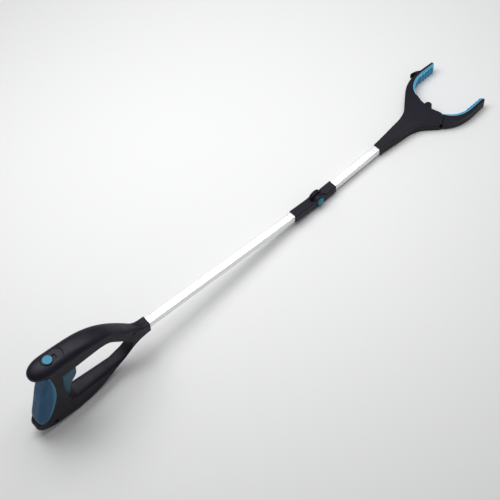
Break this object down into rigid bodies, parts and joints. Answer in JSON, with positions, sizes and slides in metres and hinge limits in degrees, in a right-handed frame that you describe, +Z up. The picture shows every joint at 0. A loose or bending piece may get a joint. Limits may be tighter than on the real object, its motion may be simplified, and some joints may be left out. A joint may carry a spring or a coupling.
{
  "type": "reacher grabber",
  "caption": "Folding reaching tool with a squeeze trigger handle, square tube, centre fold hinge and two padded jaws closed by a cable",
  "frame": {"origin": "on the ground at the centre of the flat foot under the handle's finger guard", "axes": "+X along the tool from the handle to the jaws, +Y to the tool's left, +Z up"},
  "size_m": [0.8267, 0.1194, 0.1423],
  "materials": {
    "handle_plastic": "fine moulded texture",
    "cover_plastic": "smooth moulded",
    "head_plastic": "fine moulded texture",
    "hinge_plastic": "fine moulded texture",
    "tube_aluminium": "satin anodised",
    "button_blue": "smooth",
    "palm_pad_blue": "soft matte",
    "jaw_pad_blue": "soft matte",
    "trigger_blue": "smooth",
    "steel_bright": "machined",
    "cable_steel": "stranded",
    "magnet_dark": "dark plated"
  },
  "bodies": {
    "rear_section": {"handle_shell_left": "handle_plastic", "handle_shell_right": "handle_plastic", "handle_top_cover": "cover_plastic", "grip_pad": "palm_pad_blue", "trigger_pin": "steel_bright", "trigger_spring": "steel_bright", "handle_screws": "steel_bright", "cable_guides": "steel_bright", "rear_tube": "tube_aluminium", "hinge_rear_socket": "hinge_plastic", "hinge_pin": "steel_bright", "release_spring": "steel_bright"},
    "trigger": {"trigger": "trigger_blue"},
    "rear_cable": {"cable_rear": "cable_steel", "cable_stop": "steel_bright"},
    "lock": {"lock_slide": "hinge_plastic", "lock_button": "button_blue"},
    "fold_release": {"fold_release_button": "button_blue"},
    "front_section": {"hinge_front_socket": "hinge_plastic", "front_tube": "tube_aluminium", "head_shell_top": "head_plastic", "head_shell_bottom": "head_plastic", "magnet": "magnet_dark", "head_screws": "steel_bright", "jaw_pins": "steel_bright", "jaw_springs": "steel_bright"},
    "yoke_and_cable": {"yoke": "hinge_plastic", "cable_front": "cable_steel", "cable_ferrule": "steel_bright"},
    "left_jaw": {"jaw_left": "head_plastic", "jaw_pad_left": "jaw_pad_blue"},
    "right_jaw": {"jaw_right": "head_plastic", "jaw_pad_right": "jaw_pad_blue"}
  },
  "joints": [
    {"name": "trigger_squeeze", "type": "hinge", "parent": "rear_section", "child": "trigger", "pos_m": [0.00679, 0, 0.11961], "axis": [0, 1, 0], "range_deg": [0, 17.2], "stiffness_Nm_per_rad": 0.6, "springref_deg": -8.59},
    {"name": "rear_cable_pull", "type": "slide", "parent": "rear_section", "child": "rear_cable", "axis": [-0.9934, 0, 0.1149], "range_m": [0, 0.0043]},
    {"name": "lock_slide_forward", "type": "slide", "parent": "rear_section", "child": "lock", "axis": [0.9934, 0, -0.1149], "range_m": [0, 0.008]},
    {"name": "fold_release_press", "type": "slide", "parent": "rear_section", "child": "fold_release", "axis": [0, 1, 0], "range_m": [0, 0.002], "stiffness_N_per_m": 400, "springref_m": -0.002},
    {"name": "fold_hinge", "type": "hinge", "parent": "rear_section", "child": "front_section", "pos_m": [0.44751, 0, 0.01345], "axis": [0, -1, 0], "range_deg": [-6.6, 138]},
    {"name": "yoke_pull", "type": "slide", "parent": "front_section", "child": "yoke_and_cable", "axis": [-1, 0, 0], "range_m": [0, 0.0043]},
    {"name": "left_jaw_close", "type": "hinge", "parent": "front_section", "child": "left_jaw", "pos_m": [0.66801, 0.018, 0.01025], "axis": [0, 0, -1], "range_deg": [0, 31.11]},
    {"name": "right_jaw_close", "type": "hinge", "parent": "front_section", "child": "right_jaw", "pos_m": [0.66801, -0.018, 0.01025], "axis": [0, 0, 1], "range_deg": [0, 31.11]}
  ],
  "couplings": [
    {"joint": "rear_cable_pull", "follows": "trigger_squeeze", "m_per_rad": 0.014323},
    {"joint": "yoke_pull", "follows": "trigger_squeeze", "m_per_rad": 0.014323},
    {"joint": "left_jaw_close", "follows": "trigger_squeeze", "ratio": 1.8081},
    {"joint": "right_jaw_close", "follows": "trigger_squeeze", "ratio": 1.8081}
  ]
}
